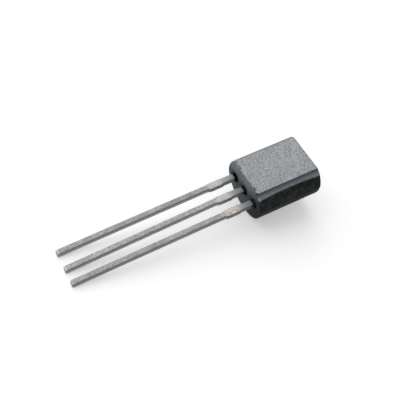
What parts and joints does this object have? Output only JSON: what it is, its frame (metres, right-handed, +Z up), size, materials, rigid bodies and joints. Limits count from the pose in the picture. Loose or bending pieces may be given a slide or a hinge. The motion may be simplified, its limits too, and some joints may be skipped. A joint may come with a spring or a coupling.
{
  "type": "three-lead moulded semiconductor package",
  "caption": "Small D-section moulded semiconductor, such as a low-power voltage regulator, with a flat front and an in-line row of square tinned leads, lying flat face up.",
  "frame": {"origin": "centre of the resting part's footprint box, on the surface it rests on", "axes": "+Z up, X across the lead row with the left lead at -X, and the leads run towards -Y, sloping down by the resting tilt of 8.5 degrees, with the flat face up"},
  "size_m": [0.0044, 0.0186, 0.0043],
  "materials": {
    "epoxy": "satin",
    "tinned_copper": "satin",
    "die_solder": "satin",
    "silicon": "gloss",
    "gold_wire": "gloss"
  },
  "bodies": {
    "root": {"moulded_body": "epoxy", "left_lead": "tinned_copper", "centre_lead": "tinned_copper", "right_lead": "tinned_copper", "die_attach": "die_solder", "silicon_die": "silicon", "left_bond_wire": "gold_wire", "right_bond_wire": "gold_wire"}
  },
  "joints": []
}
